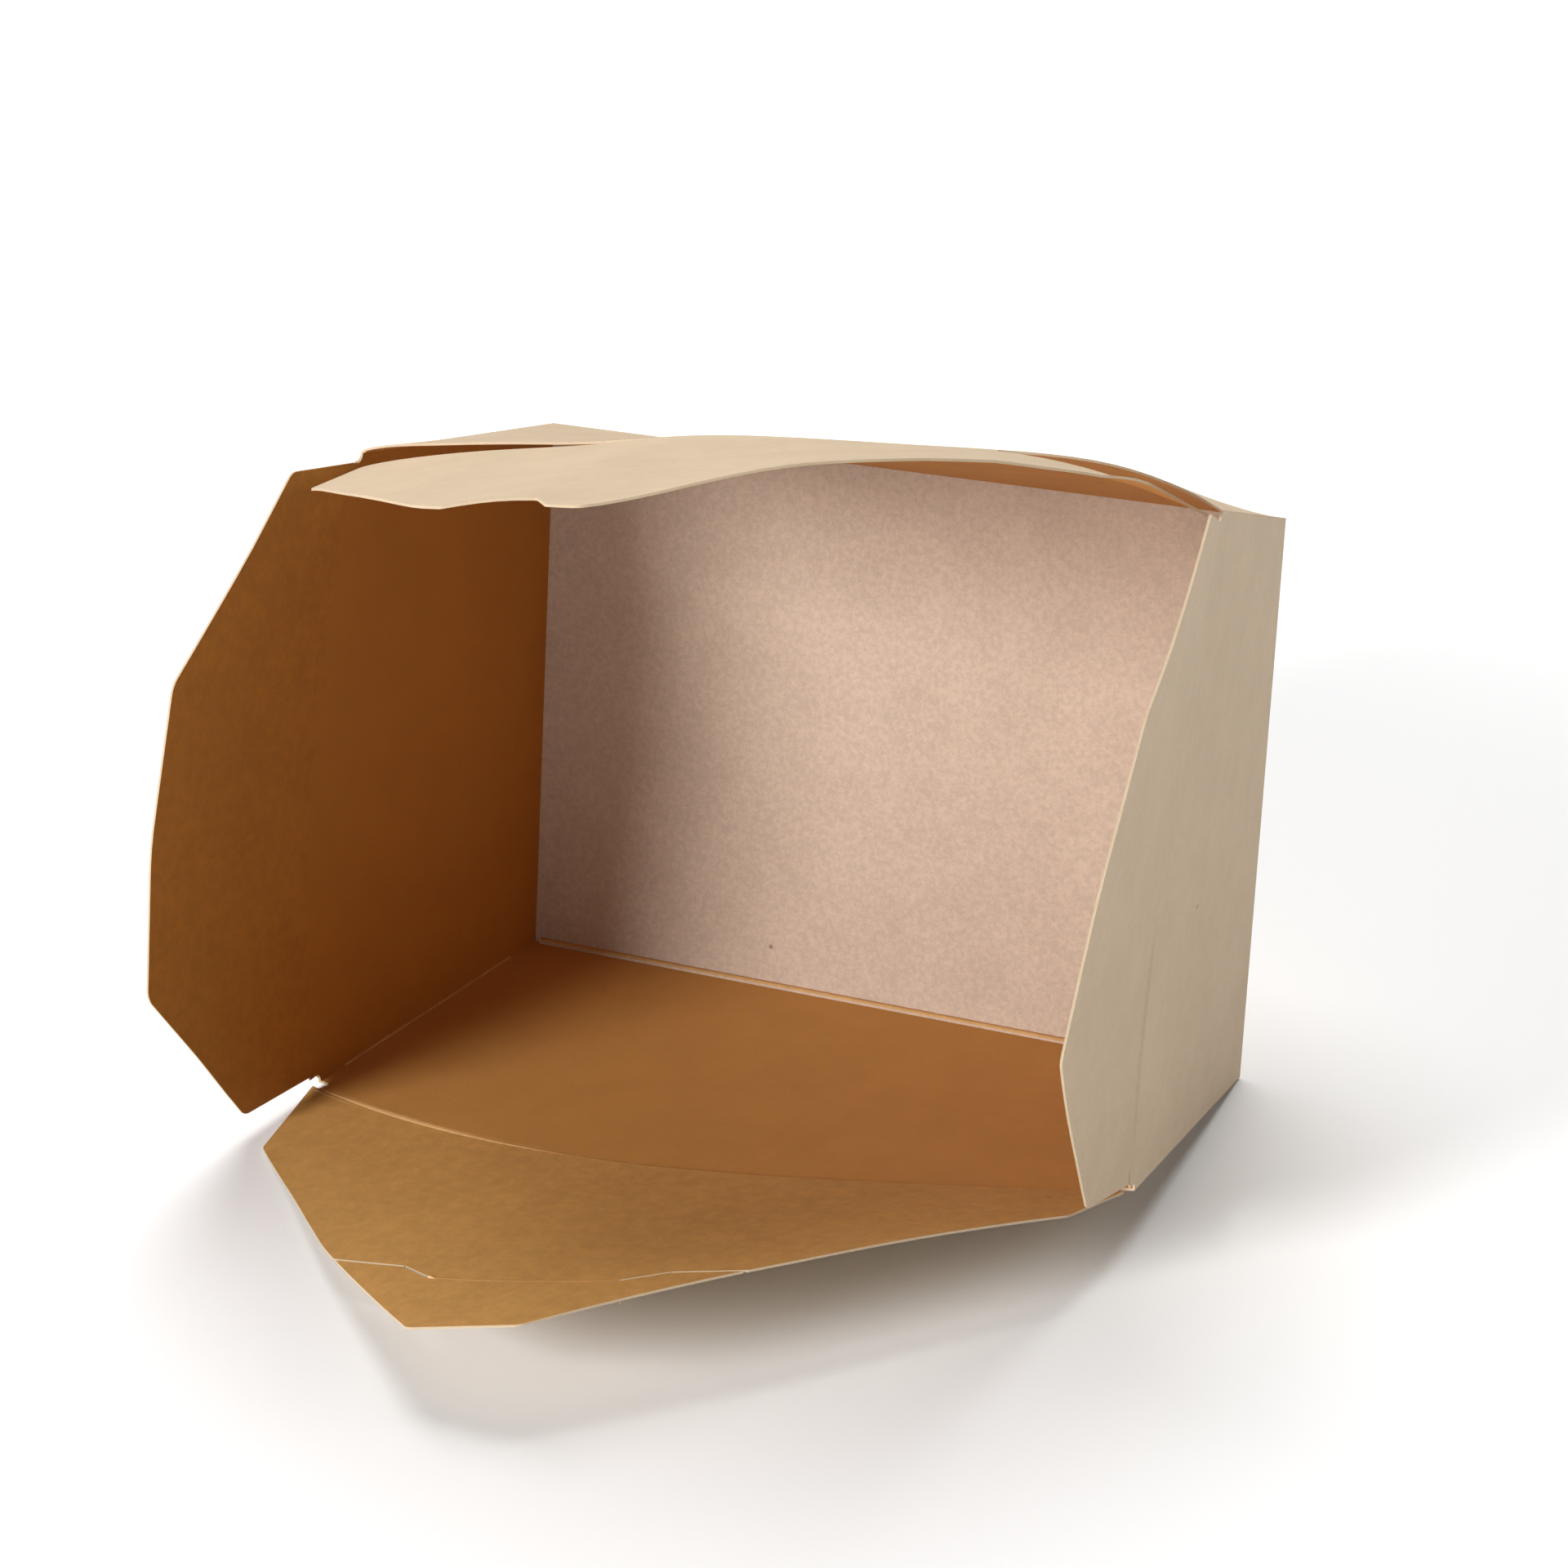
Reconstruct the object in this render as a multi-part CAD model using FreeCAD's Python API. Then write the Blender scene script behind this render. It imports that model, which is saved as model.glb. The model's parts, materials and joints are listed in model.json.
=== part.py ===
import FreeCAD, Part
import math
import os

from FreeCAD import Matrix, Placement, Vector

# A tapered takeaway box folded from one die-cut sheet of kraft card. It lies on one long wall,
# empty, with its four closing flaps open. Millimetres, +Z up, the mouth towards -Y.

# The card and the folded tub
card = 0.4
base_width = 140.0
base_height = 98.5
wall_depth = 61.7
flare_side = 6.7
flare_long = 6.45

# How the empty box has gone out of square at its mouth, in degrees
mouth_turn_long = 3.88
mouth_turn_side = 3.07
left_mouth_spread = 1.2

# The closing flaps of the two long walls
long_crease_rise = 14.0
long_flap_reach = 80.5
long_tip_half = 9.8
long_shoulder_in = 3.6
long_shoulder_out = 20.0
long_notch_in = 1.2
long_edge_crown = 1.2

# The hook cut into the tip of the upper flap
hook_corner = (14.0, 78.4)
hook_root = (-0.5, 76.0)
hook_end = (-4.3, 80.5)

# The closing flaps of the two side walls
side_crease_rise = 7.5
side_flap_reach = 48.5
side_tip_half = 27.0
side_tip_drop = 2.3
side_shoulder_in = 1.6
side_shoulder_out = 19.0
side_notch_in = 3.3

corner_radius = 2.5
corner_lap = 0.1
crease_gap = 0.45
notch_radius = 1.3

# The lock slits of the lower long flap, which leave its tip free to tuck in
slit_inner = (17.0, 62.0)
slit_knee = (24.0, 58.0)
slit_outer = (48.0, 55.0)
slit_width = 0.5

# The upper flap is hinged only between the ends of two slits; the rest of its arc is cut through
slit_end_right = -45.0
slit_end_left = 23.5
ear_gap = 0.8

# The upper wall and its flap as they have warped. Each row is one station across the wall, from the
# right corner to the left one: its place as a share of the half width, how far the wall bows out at
# its crease, how far the flap's edge has dropped below that, and the flap's lean in degrees.
upper_warp = [
    (-1.00, 0.0, 0.9, 4.0),
    (-0.94, 2.4, 1.2, 4.0),
    (-0.88, 4.1, 1.3, 3.5),
    (-0.80, 5.7, 1.3, 0.0),
    (-0.59, 7.1, 0.3, -7.2),
    (-0.36, 7.3, 0.0, -8.9),
    (-0.10, 7.5, 0.0, -12.7),
    (0.10, 7.0, 0.0, -11.7),
    (0.31, 5.3, 0.3, -10.6),
    (0.55, 4.2, 1.1, -10.0),
    (0.78, 2.8, 2.0, -9.9),
    (0.94, 1.3, 2.8, -9.0),
    (1.00, 0.0, 2.8, -9.0),
]

# How the other flaps lean at the two ends of their hinge, outwards positive, and drift sideways
floor_flap_lean = (4.0, -6.5)
floor_flap_skew = 0.02
right_flap_lean = (-6.0, 6.0)
left_flap_lean = (0.0, 0.0)
right_flap_drift = 0.15
left_flap_drift = 0.06

# How the box lies: tipped back until the lower edge of its base and the left shoulder of its lower
# flap are on the ground
lie_pitch = -12.084

sheet_margin = 0.04
prism_half = 30.0
far_out = 200.0


def mix(start, end, share):
    return start + (end - start) * share


def mouth_corner(side, level):
    x = side * (base_width / 2 + flare_side)
    z = level * (base_height / 2 + flare_long)
    long_turn = math.radians(mouth_turn_long)
    side_turn = math.radians(mouth_turn_side)
    racked_x = math.cos(long_turn) * x + math.sin(side_turn) * z
    racked_z = math.sin(long_turn) * x + math.cos(side_turn) * z
    if side < 0:
        racked_z += level * left_mouth_spread
    return Vector(racked_x, -wall_depth, racked_z)


def base_corner(side, level):
    return Vector(side * base_width / 2, 0, level * base_height / 2)


def line(start, end):
    return Part.makeLine(start, end)


def arc(start, middle, end):
    return Part.Arc(start, middle, end).toShape()


def rounded(points):
    """The edges of a closed outline with rounded corners; a point is (a, o, radius)."""
    starts = []
    middles = []
    ends = []
    count = len(points)
    for index, (a, o, radius) in enumerate(points):
        here = Vector(a, o, 0)
        before = (Vector(*points[index - 1][:2], 0) - here).normalize()
        after = (Vector(*points[(index + 1) % count][:2], 0) - here).normalize()
        half_angle = before.getAngle(after) / 2
        cut = radius / math.tan(half_angle)
        starts.append(here + before * cut)
        ends.append(here + after * cut)
        middles.append(here + (before + after).normalize() * (radius / math.sin(half_angle) - radius))
    edges = []
    for index, point in enumerate(points):
        if point[2] > 0:
            edges.append(arc(starts[index], middles[index], ends[index]))
        edges.append(line(ends[index], starts[(index + 1) % count]))
    return edges


class Panel:
    """One wall and its flap. Places on it are given as a, along the mouth, and o, outwards from it."""

    def __init__(self, first, second, crease_rise, warp=None):
        self.fold = (base_corner(*first), base_corner(*second))
        self.mouth = (mouth_corner(*first), mouth_corner(*second))
        self.rise = crease_rise
        self.warp = warp or [(-1.0, 0.0, 0.0, 0.0), (1.0, 0.0, 0.0, 0.0)]
        self.origin = mix(*self.mouth, 0.5)
        self.half = (self.mouth[1] - self.mouth[0]).Length / 2
        self.along = (self.mouth[1] - self.mouth[0]).normalize()
        outward = self.origin - mix(*self.fold, 0.5)
        self.out = (outward - self.along * outward.dot(self.along)).normalize()
        self.normal = self.along.cross(self.out)
        self.length = outward.dot(self.out)

    def crease_out(self, a, gap=0.0):
        """How far out the curved crease lies at a place along the mouth."""
        radius = (self.half ** 2 + self.rise ** 2) / (2 * self.rise)
        return self.rise + gap - radius + math.sqrt(max(radius ** 2 - a ** 2, 0))

    def ruling(self, share, bow):
        """Where one straight line of the wall starts at the fold and ends at the crease."""
        low = mix(*self.fold, (share + 1) / 2)
        mouth = mix(*self.mouth, (share + 1) / 2)
        reach = 1 + max(self.crease_out(share * self.half), 0) / self.length
        return low, mix(low, mouth, reach) + self.normal * bow

    def section(self, near, far):
        thick = self.normal * (card / 2)
        corners = [near - thick, far - thick, far + thick, near + thick]
        return Part.makePolygon(corners + corners[:1])

    def wall_sheet(self):
        sections = []
        for share, bow in [station[:2] for station in self.warp]:
            low, crease = self.ruling(share * self.widened(), bow)
            reach = (crease - low) / self.length
            sections.append(self.section(low, crease + reach * (2 * self.rise)))
        return Part.makeLoft(sections, True, len(sections) == 2)

    def flap_sheet(self, reach, leans):
        sections = []
        for share, bow, drop, lean in self.warp:
            low, crease = self.ruling(share, bow)
            turn = math.radians(lean + mix(*leans, (share + 1) / 2))
            rule = (crease - low).normalize()
            rule = rule * math.cos(turn) + self.normal * math.sin(turn)
            near = crease - self.normal * drop - rule * (sheet_margin * reach)
            sections.append(self.section(near, near + rule * (1.2 * reach)))
        return Part.makeLoft(sections, True, len(sections) == 2)

    def widened(self):
        """Carries a wall into its neighbours at the corners."""
        return 1 + corner_lap / self.half

    def prism(self, edges):
        """A flat outline in the panel's own plane, carried through the sheet."""
        frame = Matrix(
            self.along.x, self.out.x, self.normal.x, self.origin.x,
            self.along.y, self.out.y, self.normal.y, self.origin.y,
            self.along.z, self.out.z, self.normal.z, self.origin.z,
            0, 0, 0, 1,
        )
        face = Part.Face(Part.Wire(edges))
        face.translate(Vector(0, 0, -prism_half))
        solid = face.extrude(Vector(0, 0, 2 * prism_half))
        solid.Placement = Placement(frame).multiply(solid.Placement)
        return solid

    def inside_crease(self, gap=0.0):
        """Everything on the box's side of the curved crease."""
        left = Vector(-self.half, gap, 0)
        right = Vector(self.half, gap, 0)
        crown = Vector(0, self.rise + gap, 0)
        far_left = Vector(-far_out, gap, 0)
        far_right = Vector(far_out, gap, 0)
        back_right = Vector(far_out, -far_out, 0)
        back_left = Vector(-far_out, -far_out, 0)
        return self.prism([
            line(far_left, left),
            arc(left, crown, right),
            line(right, far_right),
            line(far_right, back_right),
            line(back_right, back_left),
            line(back_left, far_left),
        ])


def wall(panel):
    return panel.wall_sheet().common(panel.inside_crease())


def base_panel():
    low = Vector(-base_width / 2 - card / 2, -card / 2, -base_height / 2 - card / 2)
    return Part.makeBox(base_width + card, card, base_height + card, low)


def notch(corner):
    """The small round end of the cut between two flaps."""
    away = Vector(corner.x, 0, corner.z).normalize()
    return Part.makeCylinder(notch_radius, 6 * notch_radius, corner - away * (3 * notch_radius), away)


def tub(panels):
    shape = base_panel().fuse([wall(panel) for panel in panels])
    return shape.cut([notch(panel.mouth[0]) for panel in panels]).removeSplitter()


def side_outline(panel, drift):
    shoulder = panel.half - side_shoulder_in
    tip_out = side_flap_reach - side_tip_drop
    crown_radius = 2 * side_tip_half
    points = [
        (side_notch_in - panel.half, 0, 0),
        (panel.half - side_notch_in, 0, 0),
        (shoulder, side_shoulder_out, corner_radius),
        (side_tip_half, tip_out, 2 * corner_radius),
        (0, side_flap_reach, crown_radius),
        (-side_tip_half, tip_out, 2 * corner_radius),
        (-shoulder, side_shoulder_out, corner_radius),
    ]
    return rounded([(a + drift * o, o, radius) for a, o, radius in points])


def long_outline(panel, skew=0.0, hooked=False):
    shoulder = panel.half - long_shoulder_in
    middle_a = (shoulder + long_tip_half) / 2 + long_edge_crown
    middle_o = (long_shoulder_out + long_flap_reach) / 2 + long_edge_crown
    crown_radius = 30 * corner_radius
    tip = [(long_tip_half, long_flap_reach, corner_radius)]
    if hooked:
        tip = [(*hook_corner, 0.5), (*hook_root, 1.2), (*hook_end, 1.2)]
    points = [
        (long_notch_in - panel.half, 0, 0),
        (panel.half - long_notch_in, 0, 0),
        (shoulder, long_shoulder_out, corner_radius),
        (middle_a, middle_o, crown_radius),
        *tip,
        (-long_tip_half, long_flap_reach, corner_radius),
        (-middle_a, middle_o, crown_radius),
        (-shoulder, long_shoulder_out, corner_radius),
    ]
    return rounded([(a, o - skew * a * min(o, 1), radius) for a, o, radius in points])


def flap(panel, outline, reach, leans=(0.0, 0.0)):
    shape = panel.flap_sheet(reach, leans).common(panel.prism(outline))
    return shape.cut(panel.inside_crease(crease_gap))


def lock_slits(panel):
    """The two cuts that let the tip of the flap tuck in and hold."""
    shapes = []
    for side in (-1, 1):
        inner, knee, outer = (Vector(side * a, o, 0) for a, o in (slit_inner, slit_knee, slit_outer))
        for start, end in ((inner, knee), (knee, outer)):
            across = (end - start).cross(Vector(0, 0, 1)).normalize() * (slit_width / 2)
            corners = [start + across, end + across, end - across, start - across]
            edges = [line(corners[index - 1], corners[index]) for index in range(4)]
            shapes.append(panel.prism(edges))
    return shapes


def ear_slits(panel):
    """The cuts along the arc that free the two ends of the upper flap."""
    shapes = []
    for start, end in ((-panel.half, slit_end_right), (slit_end_left, panel.half)):
        middle = (start + end) / 2
        low = [Vector(a, panel.crease_out(a), 0) for a in (start, middle, end)]
        high = [Vector(a, panel.crease_out(a, ear_gap), 0) for a in (start, middle, end)]
        edges = [arc(*low), line(low[2], high[2]), arc(*reversed(high)), line(high[0], low[0])]
        shapes.append(panel.prism(edges))
    return shapes


def resting(shapes):
    """Lays the parts on the ground, with the middle of their outline over the origin."""
    for shape in shapes.values():
        shape.rotate(Vector(0, 0, 0), Vector(1, 0, 0), lie_pitch)
    bounds = Part.makeCompound(list(shapes.values())).optimalBoundingBox()
    shift = Vector(-bounds.Center.x, -bounds.Center.y, -bounds.ZMin)
    for shape in shapes.values():
        shape.translate(shift)
    return shapes


def build():
    left_top = (-1, 1)
    right_top = (1, 1)
    left_low = (-1, -1)
    right_low = (1, -1)
    floor = Panel(left_low, right_low, long_crease_rise)
    right = Panel(right_low, right_top, side_crease_rise)
    upper = Panel(right_top, left_top, long_crease_rise, upper_warp)
    left = Panel(left_top, left_low, side_crease_rise)
    floor_flap = flap(floor, long_outline(floor, floor_flap_skew), long_flap_reach, floor_flap_lean)
    upper_flap = flap(upper, long_outline(upper, hooked=True), long_flap_reach)
    return resting({
        "folded_tub": tub([floor, right, upper, left]),
        "left_flap": flap(left, side_outline(left, left_flap_drift), side_flap_reach, left_flap_lean),
        "right_flap": flap(right, side_outline(right, right_flap_drift), side_flap_reach, right_flap_lean),
        "floor_side_flap": floor_flap.cut(lock_slits(floor)),
        "upper_flap": upper_flap.cut(ear_slits(upper)),
    })


if __name__ == "__main__":
    os.makedirs("parts", exist_ok=True)
    for name, shape in build().items():
        print(name, shape.isValid(), len(shape.Solids), round(shape.Volume, 1))
        shape.exportStep("parts/" + name + ".step")
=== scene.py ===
import json
import math

import bmesh
import bpy
from mathutils import Matrix, Vector
from mathutils.bvhtree import BVHTree


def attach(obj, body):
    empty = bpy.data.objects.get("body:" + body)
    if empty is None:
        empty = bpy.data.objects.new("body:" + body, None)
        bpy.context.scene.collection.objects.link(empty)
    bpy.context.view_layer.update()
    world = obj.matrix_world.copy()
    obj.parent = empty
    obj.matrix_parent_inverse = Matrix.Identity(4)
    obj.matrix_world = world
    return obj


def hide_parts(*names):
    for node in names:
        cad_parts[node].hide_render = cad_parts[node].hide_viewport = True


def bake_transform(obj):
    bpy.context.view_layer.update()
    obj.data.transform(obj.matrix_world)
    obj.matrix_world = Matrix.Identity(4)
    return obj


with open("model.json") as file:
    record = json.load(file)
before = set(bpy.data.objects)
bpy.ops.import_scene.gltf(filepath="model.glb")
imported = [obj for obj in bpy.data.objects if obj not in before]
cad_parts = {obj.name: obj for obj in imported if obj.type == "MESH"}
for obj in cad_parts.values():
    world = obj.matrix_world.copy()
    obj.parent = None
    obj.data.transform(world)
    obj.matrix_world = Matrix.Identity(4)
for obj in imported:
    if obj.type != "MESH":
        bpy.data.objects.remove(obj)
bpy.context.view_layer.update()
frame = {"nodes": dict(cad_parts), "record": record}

MM = 0.001

# The box's main sizes in millimetres and its turns in degrees, as the solids have them. The hinge's
# ends and the slit's inner end are measured from the middle of their panel.
CARD = 0.4
BASE_WIDTH = 140.0
BASE_HEIGHT = 98.5
WALL_DEPTH = 61.7
FLARE_SIDE = 6.7
FLARE_LONG = 6.45
MOUTH_TURN_LONG = 3.88
MOUTH_TURN_SIDE = 3.07
LEFT_MOUTH_SPREAD = 1.2
LONG_RISE = 14.0
SIDE_RISE = 7.5
HINGE_ENDS = (-45.0, 23.5)
SLIT_INNER = (17.0, 62.0)
TUCK_RISE = 0.8

# The camera: where it stands, in metres, the ways it looks and holds its right side, and its lens in
# millimetres, as fitted to the tub's corners in the photograph
CAMERA_PLACE = (0.26653, -0.49810, 0.33953)
CAMERA_LOOK = (-0.40916, 0.80549, -0.42868)
CAMERA_RIGHT = (0.89976, 0.43429, -0.04275)
LENS = 89.3
SENSOR = 36.0


def base_frame():
    """The box's own frame: its origin at the middle of the base, and its three axes."""
    mount = frame["record"]["mounts"][0]
    out = Vector(mount["axis"])
    right = Vector((1, 0, 0))
    origin = Vector(mount["pos_m"]) - out * (CARD / 2 * MM)
    return origin, right, out, right.cross(out)


ORIGIN, RIGHT, BACK, UP = base_frame()


def placed(x, y, z):
    """A point of the box's own frame, in millimetres, where the box lies."""
    return ORIGIN + (RIGHT * x + BACK * y + UP * z) * MM


def base_corner(side, level):
    return placed(side * BASE_WIDTH / 2, 0, level * BASE_HEIGHT / 2)


def mouth_corner(side, level):
    x = side * (BASE_WIDTH / 2 + FLARE_SIDE)
    z = level * (BASE_HEIGHT / 2 + FLARE_LONG)
    long_turn = math.radians(MOUTH_TURN_LONG)
    side_turn = math.radians(MOUTH_TURN_SIDE)
    racked_x = math.cos(long_turn) * x + math.sin(side_turn) * z
    racked_z = math.sin(long_turn) * x + math.cos(side_turn) * z
    if side < 0:
        racked_z += level * LEFT_MOUTH_SPREAD
    return placed(racked_x, -WALL_DEPTH, racked_z)


class Panel:
    """One wall with its flap: a runs along the mouth and o outwards from it, in millimetres."""

    def __init__(self, first, second, rise, flap):
        self.flap = flap
        self.rise = rise
        self.fold = (base_corner(*first), base_corner(*second))
        self.mouth = (mouth_corner(*first), mouth_corner(*second))
        self.origin = (self.mouth[0] + self.mouth[1]) / 2
        self.half = (self.mouth[1] - self.mouth[0]).length / 2 / MM
        self.along = (self.mouth[1] - self.mouth[0]).normalized()
        outward = self.origin - (self.fold[0] + self.fold[1]) / 2
        self.out = (outward - self.along * outward.dot(self.along)).normalized()
        self.normal = self.along.cross(self.out)

    def at(self, a, o, height=0.0):
        return self.origin + (self.along * a + self.out * o + self.normal * height) * MM

    def radius(self):
        return (self.half ** 2 + self.rise ** 2) / (2 * self.rise)

    def crease_out(self, a):
        """How far out the arc of the crease lies at a."""
        return self.rise - self.radius() + math.sqrt(self.radius() ** 2 - a ** 2)

    def crease_across(self, a):
        """The direction square to the arc at a, in the panel's plane."""
        turn = math.asin(a / self.radius())
        return (self.out * math.cos(turn) + self.along * math.sin(turn)).normalized()


LOW_LEFT = (-1, -1)
LOW_RIGHT = (1, -1)
TOP_LEFT = (-1, 1)
TOP_RIGHT = (1, 1)
PANELS = {
    "floor": Panel(LOW_LEFT, LOW_RIGHT, LONG_RISE, "floor_side_flap"),
    "right": Panel(LOW_RIGHT, TOP_RIGHT, SIDE_RISE, "right_flap"),
    "upper": Panel(TOP_RIGHT, TOP_LEFT, LONG_RISE, "upper_flap"),
    "left": Panel(TOP_LEFT, LOW_LEFT, SIDE_RISE, "left_flap"),
}
FLOOR_UP = -PANELS["floor"].normal
SURFACES = {name: BVHTree.FromPolygons(
    [vertex.co for vertex in node.data.vertices],
    [tuple(polygon.vertices) for polygon in node.data.polygons],
) for name, node in frame["nodes"].items()}


def card_middle(node, point, normal, reach):
    """The middle of a node's card under a point, looked for along the panel's normal."""
    found = []
    for way in (normal, -normal):
        start = point - way * (reach * MM)
        hit = SURFACES[node].ray_cast(start, way, 2 * reach * MM)[0]
        if hit is not None:
            found.append(hit)
    if not found:
        return point
    return sum(found, Vector()) / len(found)


def new_piece(name, vertices, faces, materials, faces_of=None):
    mesh = bpy.data.meshes.new(name)
    mesh.from_pydata(vertices, [], faces)
    for material in materials:
        mesh.materials.append(material)
    for polygon in mesh.polygons:
        if faces_of:
            polygon.material_index = faces_of[polygon.index]
    shape = bmesh.new()
    shape.from_mesh(mesh)
    bmesh.ops.recalc_face_normals(shape, faces=shape.faces)
    shape.to_mesh(mesh)
    shape.free()
    piece = bpy.data.objects.new(name, mesh)
    bpy.context.scene.collection.objects.link(piece)
    return piece


def swept(name, rings, materials, ridge=()):
    """A closed strip through rings of points; ridge names the sides that take the second material."""
    count = len(rings[0])
    vertices = [point for ring in rings for point in ring]
    faces = []
    faces_of = []
    for index in range(len(rings) - 1):
        for corner in range(count):
            following = (corner + 1) % count
            faces.append((
                index * count + corner,
                index * count + following,
                (index + 1) * count + following,
                (index + 1) * count + corner,
            ))
            faces_of.append(1 if corner in ridge else 0)
    faces.append(tuple(range(count)))
    faces.append(tuple(reversed(range((len(rings) - 1) * count, len(rings) * count))))
    faces_of += [0, 0]
    return new_piece(name, vertices, faces, materials, faces_of)


# Materials. Texture scales are in repeats a metre.

CLOUD_SCALE = 90.0
FIBRE_SCALE = 420.0
BASE_FIBRE_SCALE = 900.0
GRAIN_SCALE = 2600.0
SPECK_SCALE = 95.0
SPECK_COLOUR = (0.10, 0.05, 0.025)
SPECK_STRENGTH = 0.55
FAINT_SHADE = (0.95, 0.945, 0.94)
WHITE = (1.0, 1.0, 1.0)

INSIDE = (0.51, 0.235, 0.058)
# Painted shade and painted light: the inside of the left wall and left flap is darkened for the shade it
# stands in, and the insides of the base, the floor and the floor side's flap are lightened for the light
# that falls on them
LEFT_SHADED_INSIDE = (0.43, 0.18, 0.028)
FLOOR_LIT_INSIDE = (0.53, 0.258, 0.068)
FLOOR_FLAP_LIT_INSIDE = (0.55, 0.295, 0.086)
BASE_LIT_INSIDE = (0.58, 0.455, 0.36)
OUTSIDE = (0.64, 0.495, 0.34)
CUT_EDGE = (0.58, 0.45, 0.30)
# A painted highlight: the beads are painted paler where they catch the light
BEAD_HIGHLIGHT_COLOUR = (0.60, 0.36, 0.15)
TUCK_COLOUR = (0.72, 0.50, 0.27)


def maths(tree, operation, first, second=None):
    node = tree.nodes.new("ShaderNodeMath")
    node.operation = operation
    for index, value in enumerate((first, second)):
        if value is None:
            continue
        if isinstance(value, (int, float)):
            node.inputs[index].default_value = value
        else:
            tree.links.new(value, node.inputs[index])
    return node.outputs[0]


def vector_maths(tree, operation, output, first, second=None):
    node = tree.nodes.new("ShaderNodeVectorMath")
    node.operation = operation
    tree.links.new(first, node.inputs[0])
    if isinstance(second, Vector):
        node.inputs[1].default_value = second
    elif second is not None:
        tree.links.new(second, node.inputs[1])
    return node.outputs[output]


def mixed(tree, factor, first, second, kind="MIX"):
    node = tree.nodes.new("ShaderNodeMix")
    node.data_type = "RGBA"
    node.blend_type = kind
    for index, value in ((0, factor), (6, first), (7, second)):
        if isinstance(value, (int, float)):
            node.inputs[index].default_value = value
        elif isinstance(value, tuple):
            node.inputs[index].default_value = (*value, 1)
        else:
            tree.links.new(value, node.inputs[index])
    return node.outputs[2]


def ranged(tree, value, low, high):
    """Carries a value from low..high to 0..1."""
    node = tree.nodes.new("ShaderNodeMapRange")
    node.interpolation_type = "SMOOTHSTEP"
    tree.links.new(value, node.inputs["Value"])
    node.inputs["From Min"].default_value = low
    node.inputs["From Max"].default_value = high
    return node.outputs["Result"]


def noise(tree, place, scale, detail, roughness=0.6):
    node = tree.nodes.new("ShaderNodeTexNoise")
    node.inputs["Scale"].default_value = scale
    node.inputs["Detail"].default_value = detail
    node.inputs["Roughness"].default_value = roughness
    tree.links.new(place, node.inputs["Vector"])
    return node.outputs["Fac"]


def between_shades(tree, pattern, colour, dark, light):
    """The colour, made darker where the pattern is low and lighter where it is high."""
    share = ranged(tree, pattern, 0.32, 0.7)
    return mixed(tree, share, tuple(dark * c for c in colour), tuple(min(light * c, 1) for c in colour))


def faintly_shaded(tree, colour, pattern):
    shade = mixed(tree, ranged(tree, pattern, 0.3, 0.7), FAINT_SHADE, WHITE)
    return mixed(tree, 1.0, colour, shade, "MULTIPLY")


def facing_share(tree, normal, direction, low, high):
    """How far a face looks along a direction: 0 below low, 1 above high."""
    return ranged(tree, vector_maths(tree, "DOT_PRODUCT", "Value", normal, direction), low, high)


def tub_painted_light(tree, place, normal, colour):
    """The inside of the folded tub, with painted light and shade: the base is painted paler than the walls
    where light falls on it, the left wall darker where it stands in shade, and the floor a little paler.
    """
    fibres = noise(tree, place, BASE_FIBRE_SCALE, 4.0, 0.7)
    base = between_shades(tree, fibres, BASE_LIT_INSIDE, 0.89, 1.08)
    colour = mixed(tree, facing_share(tree, normal, -BACK, 0.95, 0.99), colour, base)
    colour = mixed(tree, facing_share(tree, normal, RIGHT, 0.9, 0.97), colour, LEFT_SHADED_INSIDE)
    return mixed(tree, facing_share(tree, normal, FLOOR_UP, 0.9, 0.97), colour, FLOOR_LIT_INSIDE)


def with_specks(tree, place, colour):
    """Rare dark specks of bark, in about one cell of six."""
    cells = tree.nodes.new("ShaderNodeTexVoronoi")
    cells.inputs["Scale"].default_value = SPECK_SCALE
    tree.links.new(place, cells.inputs["Vector"])
    spot = ranged(tree, cells.outputs["Distance"], 0.05, 0.03)
    drawn_number = tree.nodes.new("ShaderNodeSeparateColor")
    tree.links.new(cells.outputs["Color"], drawn_number.inputs["Color"])
    rare = ranged(tree, drawn_number.outputs["Red"], 0.84, 0.86)
    strength = maths(tree, "MULTIPLY", maths(tree, "MULTIPLY", spot, rare), SPECK_STRENGTH)
    return mixed(tree, strength, colour, SPECK_COLOUR)


def matt_surface(tree, shader, fibres, grain):
    """Rough and barely shiny, with the fibres and the grain standing just proud."""
    roughness = tree.nodes.new("ShaderNodeMapRange")
    tree.links.new(fibres, roughness.inputs["Value"])
    roughness.inputs["To Min"].default_value = 0.62
    roughness.inputs["To Max"].default_value = 0.82
    tree.links.new(roughness.outputs["Result"], shader.inputs["Roughness"])
    shader.inputs["Specular IOR Level"].default_value = 0.3
    bump = tree.nodes.new("ShaderNodeBump")
    bump.inputs["Strength"].default_value = 0.25
    bump.inputs["Distance"].default_value = 0.00008
    height = maths(tree, "ADD", fibres, maths(tree, "MULTIPLY", grain, 0.5))
    tree.links.new(height, bump.inputs["Height"])
    tree.links.new(bump.outputs["Normal"], shader.inputs["Normal"])


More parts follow.
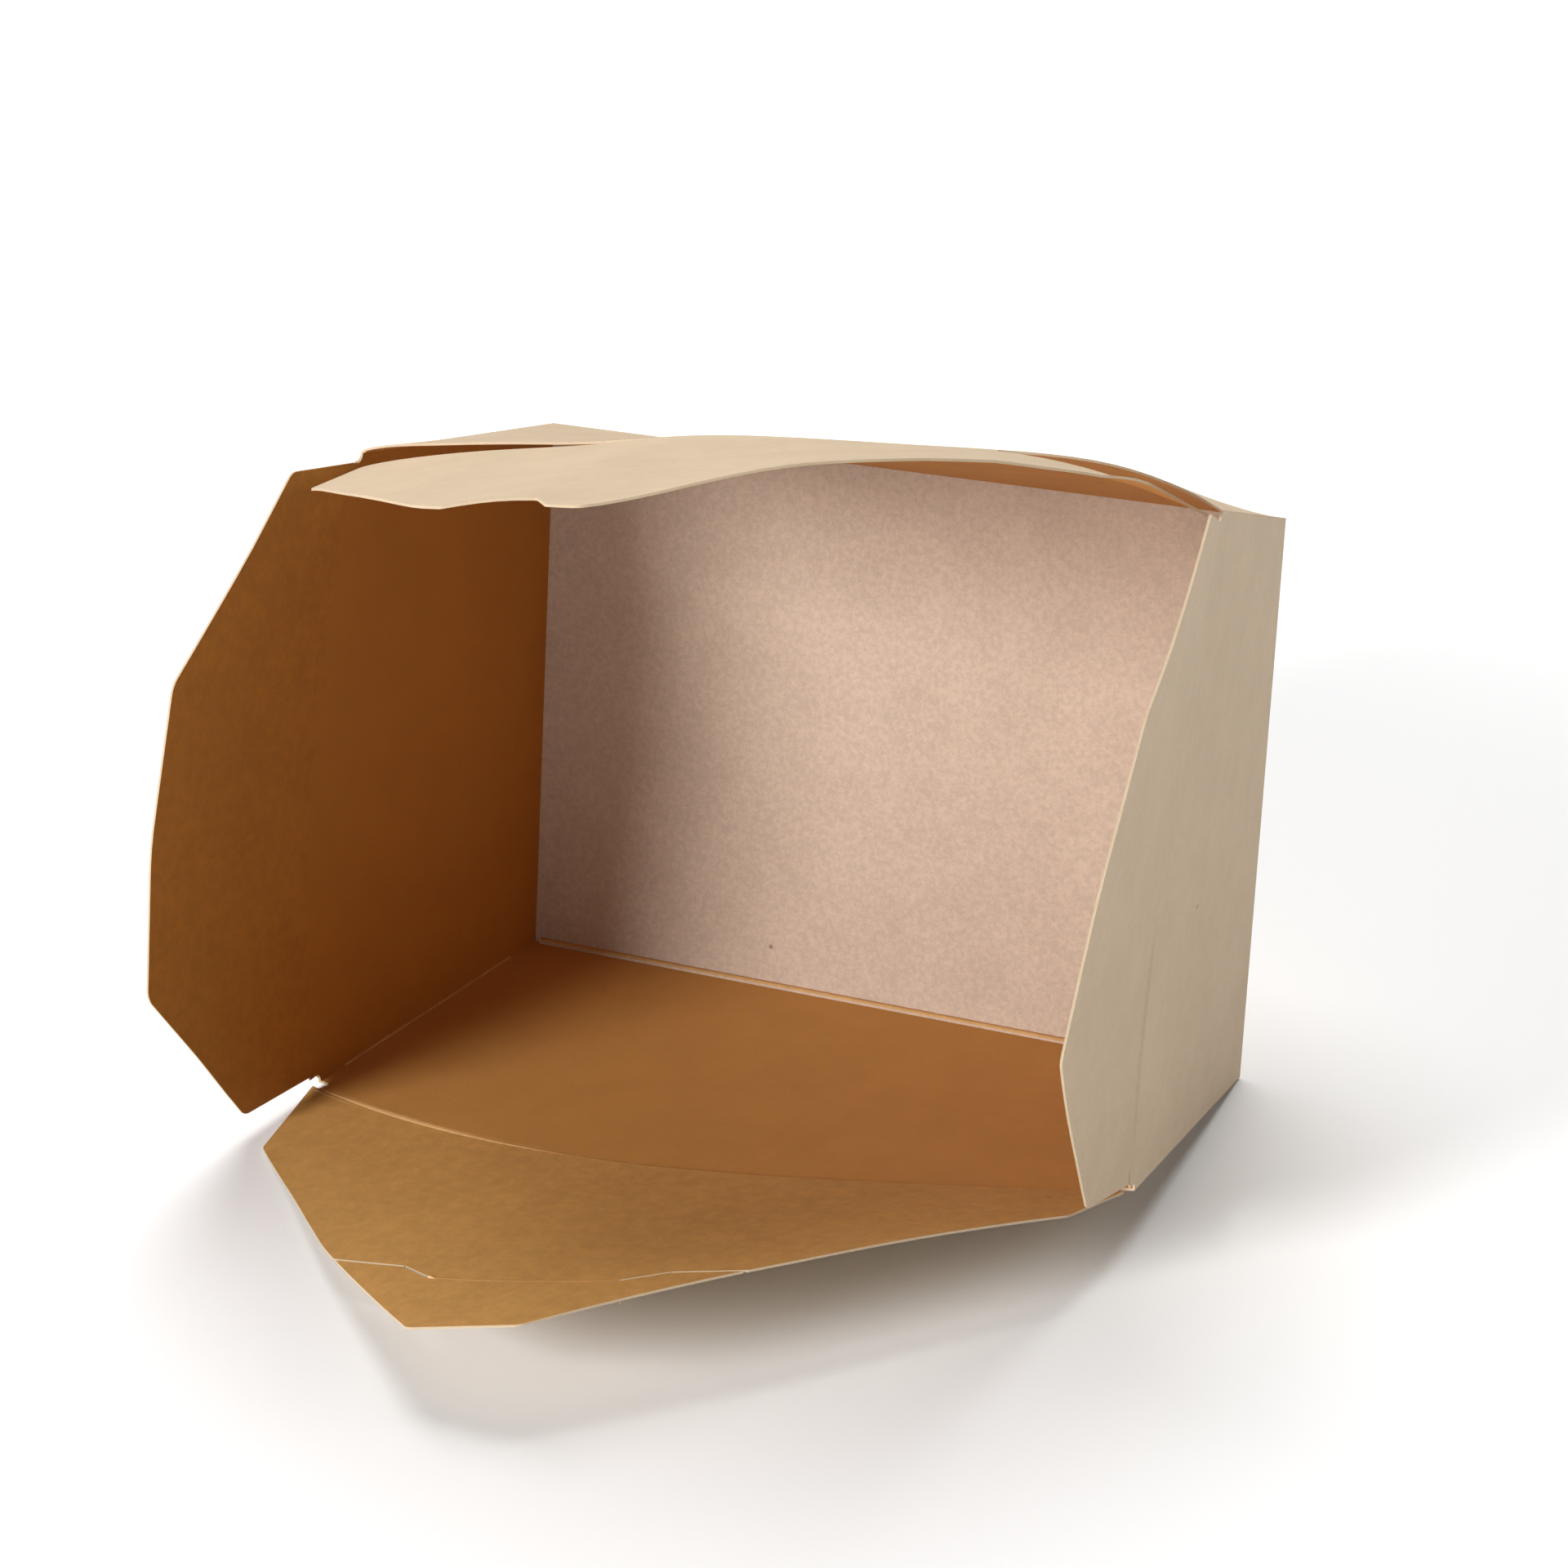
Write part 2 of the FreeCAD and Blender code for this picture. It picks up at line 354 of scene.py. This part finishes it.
def kraft(name, inside=INSIDE, outside=OUTSIDE, facing=None, centre=None):
    """Uncoated kraft card. facing is the outward normal of a flat piece. centre is a point in the
    hollow of a folded one, whose faces towards it are the inside."""
    material = bpy.data.materials.new(name)
    material.use_nodes = True
    tree = material.node_tree
    coordinates = tree.nodes.new("ShaderNodeTexCoord")
    place = coordinates.outputs["Object"]
    normal = coordinates.outputs["Normal"]
    outward = facing
    if facing is None:
        from_centre = vector_maths(tree, "SUBTRACT", "Vector", place, centre)
        outward = vector_maths(tree, "NORMALIZE", "Vector", from_centre)
    outwards = vector_maths(tree, "DOT_PRODUCT", "Value", normal, outward)

    fibres = noise(tree, place, FIBRE_SCALE, 5.0, 0.72)
    grain = noise(tree, place, GRAIN_SCALE, 2.0)
    inner = between_shades(tree, fibres, inside, 0.9, 1.08)
    if facing is None:
        inner = tub_painted_light(tree, place, normal, inner)
    outer = between_shades(tree, fibres, outside, 0.97, 1.03)
    colour = mixed(tree, ranged(tree, outwards, -0.05, 0.05), inner, outer)
    if facing is not None:
        rim = ranged(tree, maths(tree, "ABSOLUTE", outwards), 0.55, 0.35)
        colour = mixed(tree, rim, colour, CUT_EDGE)
    colour = faintly_shaded(tree, colour, noise(tree, place, CLOUD_SCALE, 2.0))
    colour = faintly_shaded(tree, colour, grain)
    colour = with_specks(tree, place, colour)

    shader = tree.nodes["Principled BSDF"]
    tree.links.new(colour, shader.inputs["Base Color"])
    matt_surface(tree, shader, fibres, grain)
    return material


def dress(node, material):
    """Gives a CAD node its card."""
    mesh = frame["nodes"][node].data
    if mesh.materials:
        mesh.materials[0] = material
    else:
        mesh.materials.append(material)


# A point in the hollow of the box, which the inside faces look towards
HOLLOW = placed(0, -WALL_DEPTH * 0.55, 0)
dress("folded_tub", kraft("kraft_tub", centre=HOLLOW))
FLAP_CARD = {}
# Painted shade on the inside of the left flap and painted light on the inside of the floor side's flap
FLAP_PAINTED_TONES = {"left_flap": LEFT_SHADED_INSIDE, "floor_side_flap": FLOOR_FLAP_LIT_INSIDE}
for panel in PANELS.values():
    FLAP_CARD[panel.flap] = kraft(
        "kraft_" + panel.flap, inside=FLAP_PAINTED_TONES.get(panel.flap, INSIDE), facing=panel.normal)
    dress(panel.flap, FLAP_CARD[panel.flap])
# The beads' card, paler as a painted highlight
BEAD_PAINTED_HIGHLIGHT = kraft("kraft_painted_highlight_bead", inside=BEAD_HIGHLIGHT_COLOUR, outside=BEAD_HIGHLIGHT_COLOUR, centre=HOLLOW)
TUCK_BEAD = kraft("kraft_tuck_line", inside=TUCK_COLOUR, outside=TUCK_COLOUR, centre=HOLLOW)

# The flaps as the photograph has them: a copy of each node's mesh, eased a little, stands for it. The
# card of the floor's and side flaps is drawn out at both ends of the crease, and the upper flap's right
# ear hangs down.

# How far each end of a crease is drawn out, in millimetres, and the share of the half width from
# which the card gives
END_DRAW = {"floor": (1.5, 0.4), "right": (1.7, 1.8), "left": (2.0, 1.2), "upper": (0.0, 0.0)}
DRAW_FROM = 0.72

# Each row is a share of the half width, how far the slit's edge sinks there in millimetres, and the
# turn about the crease, in degrees
EAR_HANG = (
    (-1.10, 0.6, 1.0),
    (-0.94, 0.8, 1.0),
    (-0.88, 0.8, 3.4),
    (-0.80, 0.5, 2.6),
    (-0.72, 0.25, 0.8),
    (-0.64, 0.1, 0.0),
    (-0.59, 0.0, 0.0),
    (1.10, 0.0, 0.0),
)


def ear_hang(share):
    """The sink and the slope of the ear at a share of the half width."""
    for low, high in zip(EAR_HANG, EAR_HANG[1:]):
        if share <= high[0]:
            part = (share - low[0]) / (high[0] - low[0])
            sink, turn = (first + (second - first) * part for first, second in zip(low[1:], high[1:]))
            return sink, math.tan(math.radians(turn))
    return 0.0, 0.0


def drawn(panel, a, ends):
    """Where a point at a along the crease goes when the card's ends are drawn out."""
    share = min(max((abs(a) / panel.half - DRAW_FROM) / (1 - DRAW_FROM), 0.0), 1.0)
    return a + math.copysign(ends[1 if a > 0 else 0] * share * share * (3 - 2 * share), a)


def eased_flap(side):
    panel = PANELS[side]
    mesh = frame["nodes"][panel.flap].data.copy()
    for vertex in mesh.vertices:
        offset = (vertex.co - panel.origin) / MM
        a = offset.dot(panel.along)
        o = offset.dot(panel.out)
        past = o - panel.crease_out(a)
        moved = drawn(panel, a, END_DRAW[side])
        vertex.co += (panel.along * (moved - a) + panel.out * (panel.crease_out(moved) + past - o)) * MM
        if side == "upper":
            sink, slope = ear_hang(a / panel.half)
            vertex.co -= panel.normal * ((sink + past * slope) * MM)
    mesh.update()
    piece = bpy.data.objects.new("eased_" + panel.flap, mesh)
    bpy.context.scene.collection.objects.link(piece)
    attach(piece, panel.flap)
    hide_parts(panel.flap)


for side in PANELS:
    eased_flap(side)

# The creases: a patch of card across the gap between each wall and its flap, with a low bead on the inside
# of the floor's crease where the card was creased, its ridge painted paler as a painted highlight

# Heights over the middle of the card: just proud of its face, and just under it at the patch's edges
SURFACE = CARD / 2 + 0.012
SUNK = CARD / 2 - 0.02
# Places across the crease, from the wall's edge outwards, and each ridge point's share of the bead
WALL_SIDE = (-0.8, -0.55, -0.1)
FLAP_SIDE = (0.55, 1.0, 1.25)
RIDGE = ((0.08, 0.5), (0.2, 0.9), (0.32, 1.0), (0.42, 0.6))
RIDGE_SIDES = tuple(range(len(WALL_SIDE) - 1, len(WALL_SIDE) + len(RIDGE)))
STEPS_IN_PIECE = 4
# How far the patches stop short of the corners and of the slits, and the bead on the floor's crease
CREASE_ENDS = 1.7
SLIT_CLEARANCE = 1.2
FLOOR_BEAD = 0.06
# How far the card may lie from its panel's plane, where it is flat, at the warped crease and at the tip
FLAT_REACH = 1.5
WARPED_REACH = 12.0
TIP_REACH = 8.0


def crease_ring(panel, a, bead, reach):
    """The outline of the patch at a place along the arc, laid on the cards of the wall and the flap."""
    across = panel.crease_across(a)
    foot = panel.at(a, panel.crease_out(a))
    inward = -panel.normal
    wall_side = [card_middle("folded_tub", foot + across * (u * MM), inward, reach) for u in WALL_SIDE[::2]]
    flap_side = [card_middle(panel.flap, foot + across * (u * MM), inward, reach) for u in FLAP_SIDE[::2]]

    def middle(u):
        if u <= WALL_SIDE[2]:
            first, second, low, high = *wall_side, WALL_SIDE[0], WALL_SIDE[2]
        elif u >= FLAP_SIDE[0]:
            first, second, low, high = *flap_side, FLAP_SIDE[0], FLAP_SIDE[2]
        else:
            first, second, low, high = wall_side[1], flap_side[0], WALL_SIDE[2], FLAP_SIDE[0]
        return first.lerp(second, (u - low) / (high - low))

    outline = [(WALL_SIDE[0], SUNK), (WALL_SIDE[1], SURFACE), (WALL_SIDE[2], SURFACE)]
    outline += [(u, SURFACE + share * bead) for u, share in RIDGE]
    outline += [(FLAP_SIDE[0], SURFACE), (FLAP_SIDE[1], SURFACE), (FLAP_SIDE[2], SUNK)]
    outline += [(FLAP_SIDE[2], -SUNK), (FLAP_SIDE[1], -SURFACE), (FLAP_SIDE[0], -SURFACE)]
    outline += [(WALL_SIDE[2], -SURFACE), (WALL_SIDE[1], -SURFACE), (WALL_SIDE[0], -SUNK)]
    return [middle(u) + inward * (h * MM) for u, h in outline]


def crease(panel, start, end, pieces, bead=0.0, reach=FLAT_REACH):
    """Patches along a crease, each a short piece."""
    for index in range(pieces):
        low = start + (end - start) * index / pieces
        high = start + (end - start) * (index + 1) / pieces
        rings = []
        for step in range(STEPS_IN_PIECE + 1):
            rings.append(crease_ring(panel, low + (high - low) * step / STEPS_IN_PIECE, bead, reach))
        piece = swept(
            f"crease_{panel.flap}_{index:02d}", rings, [FLAP_CARD[panel.flap], BEAD_PAINTED_HIGHLIGHT],
            RIDGE_SIDES if bead else ())
        middle = (low + high) / 2
        ring = crease_ring(panel, middle, bead, reach)
        across = panel.crease_across(middle)
        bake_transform(piece)


def long_crease(side, pieces, bead=0.0):
    """A crease from corner to corner, less a little at each end for the round cuts."""
    reach_out = PANELS[side].half - CREASE_ENDS
    crease(PANELS[side], -reach_out, reach_out, pieces, bead)


long_crease("floor", 14, FLOOR_BEAD)
long_crease("left", 8)
long_crease("right", 8)
first_end, last_end = HINGE_ENDS
crease(PANELS["upper"], first_end + SLIT_CLEARANCE, last_end - SLIT_CLEARANCE, 8, reach=WARPED_REACH)

# The pressed beads along two folds, on the inside, painted paler as a painted highlight

FOLD_STEPS = 40
# The ridge's round, in degrees from the first inward direction, and how deep its foot sinks
ROUND_STEPS = 12
ROUND_START = -20
ROUND_SWEEP = 130
BEAD_FOOT = 0.1


def fold_bead(name, first, second, ways, radius, ends):
    """A rounded ridge in the corner between two panels, in millimetres; ways are the two inward
    directions and ends is how far it stops short of the fold's ends."""
    length = (second - first).length / MM
    along = (second - first).normalized()
    heart = (ways[0] + ways[1]) * (CARD / 2 * MM)
    rings = []
    for step in range(FOLD_STEPS + 1):
        at = first + along * ((ends + (length - 2 * ends) * step / FOLD_STEPS) * MM) + heart
        ring = []
        for turn in range(ROUND_STEPS + 1):
            angle = math.radians(ROUND_START + ROUND_SWEEP * turn / ROUND_STEPS)
            ring.append(at + (ways[0] * math.cos(angle) + ways[1] * math.sin(angle)) * (radius * MM))
        ring.append(at - (ways[0] + ways[1]) * (BEAD_FOOT * MM))
        rings.append(ring)
    piece = swept(name, rings, [BEAD_PAINTED_HIGHLIGHT])
    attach(piece, "tub")


fold_bead("fold_bead_floor", *PANELS["floor"].fold, (FLOOR_UP, -BACK), radius=0.85, ends=1.5)
fold_bead(
    "fold_bead_left", base_corner(*LOW_LEFT), mouth_corner(*LOW_LEFT),
    (FLOOR_UP, -PANELS["left"].normal), radius=0.3, ends=8.0)

# The line along which the tip of the floor side's flap folds when it is tucked in

TUCK_STEPS = 24
# The line's section: places across it, and heights over the middle of the card
TUCK_PROFILE = ((-0.28, SUNK), (-0.2, SURFACE), (0.0, SURFACE + 0.05), (0.2, SURFACE), (0.28, SUNK))


def tuck_line():
    panel = PANELS["floor"]
    reach_out, foot = SLIT_INNER
    rings = []
    for step in range(TUCK_STEPS + 1):
        a = -reach_out + 2 * reach_out * step / TUCK_STEPS
        o = foot + TUCK_RISE * (1 - (a / reach_out) ** 2)
        ring = []
        for u, h in TUCK_PROFILE:
            spot = card_middle(panel.flap, panel.at(a, o + u), panel.normal, TIP_REACH)
            ring.append(spot - panel.normal * (h * MM))
        rings.append(ring)
    piece = swept("tuck_line", rings, [TUCK_BEAD])
    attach(piece, panel.flap)


tuck_line()

# The camera, the lights and the floor

camera_data = bpy.data.cameras.new("camera")
camera_data.lens = LENS
camera_data.sensor_width = SENSOR
camera = bpy.data.objects.new("camera", camera_data)
bpy.context.scene.collection.objects.link(camera)
look = Vector(CAMERA_LOOK).normalized()
camera_right = Vector(CAMERA_RIGHT)
camera_right = (camera_right - look * camera_right.dot(look)).normalized()
axes = Matrix((camera_right, camera_right.cross(look), -look)).transposed()
camera.matrix_world = Matrix.Translation(CAMERA_PLACE) @ axes.to_4x4()
bpy.context.scene.camera = camera

AIM = Vector((0.0, 0.0, 0.06))
# Each light's place, the size of its disk and its power
LIGHTS = {
    "key": ((-0.54, -1.01, 0.50), 0.42, 15.5),
    "top": ((-0.1, 0.45, 1.15), 1.2, 16.0),
    "front_fill": ((0.25, -1.2, 0.16), 0.5, 1.2),
    "right_fill": ((1.2, 0.55, 0.55), 0.9, 2.5),
}
for name, (place, size, power) in LIGHTS.items():
    lamp = bpy.data.lights.new(name, "AREA")
    lamp.shape = "DISK"
    lamp.size = size
    lamp.energy = power
    light = bpy.data.objects.new(name, lamp)
    bpy.context.scene.collection.objects.link(light)
    light.location = place
    light.rotation_euler = (AIM - Vector(place)).to_track_quat("-Z", "Y").to_euler()

WORLD_STRENGTH = 0.03
world = bpy.data.worlds.new("studio")
world.use_nodes = True
background = world.node_tree.nodes["Background"]
background.inputs["Color"].default_value = (*WHITE, 1)
background.inputs["Strength"].default_value = WORLD_STRENGTH
bpy.context.scene.world = world
bpy.context.scene.view_settings.view_transform = "Standard"

FLOOR_HALF = 4.0
FLOOR_SINK = 0.0002
FLOOR_WHITE = (0.96, 0.96, 0.96)
# The floor glows a little away from the box, to keep the background white
GLOW_FROM = 0.2
GLOW_FULL = 0.42
GLOW_STRENGTH = 0.3


def studio_floor():
    corners = [(-1, -1), (1, -1), (1, 1), (-1, 1)]
    mesh = bpy.data.meshes.new("floor")
    mesh.from_pydata([(x * FLOOR_HALF, y * FLOOR_HALF, 0) for x, y in corners], [], [(0, 1, 2, 3)])
    floor = bpy.data.objects.new("studio_floor", mesh)
    bpy.context.scene.collection.objects.link(floor)
    material = bpy.data.materials.new("studio_floor")
    material.use_nodes = True
    tree = material.node_tree
    shader = tree.nodes["Principled BSDF"]
    shader.inputs["Base Color"].default_value = (*FLOOR_WHITE, 1)
    shader.inputs["Roughness"].default_value = 0.9
    place = tree.nodes.new("ShaderNodeTexCoord").outputs["Object"]
    distance = vector_maths(tree, "LENGTH", "Value", place)
    glow = maths(tree, "MULTIPLY", ranged(tree, distance, GLOW_FROM, GLOW_FULL), GLOW_STRENGTH)
    shader.inputs["Emission Color"].default_value = (*WHITE, 1)
    tree.links.new(glow, shader.inputs["Emission Strength"])
    mesh.materials.append(material)
    floor.location.z = -FLOOR_SINK


studio_floor()
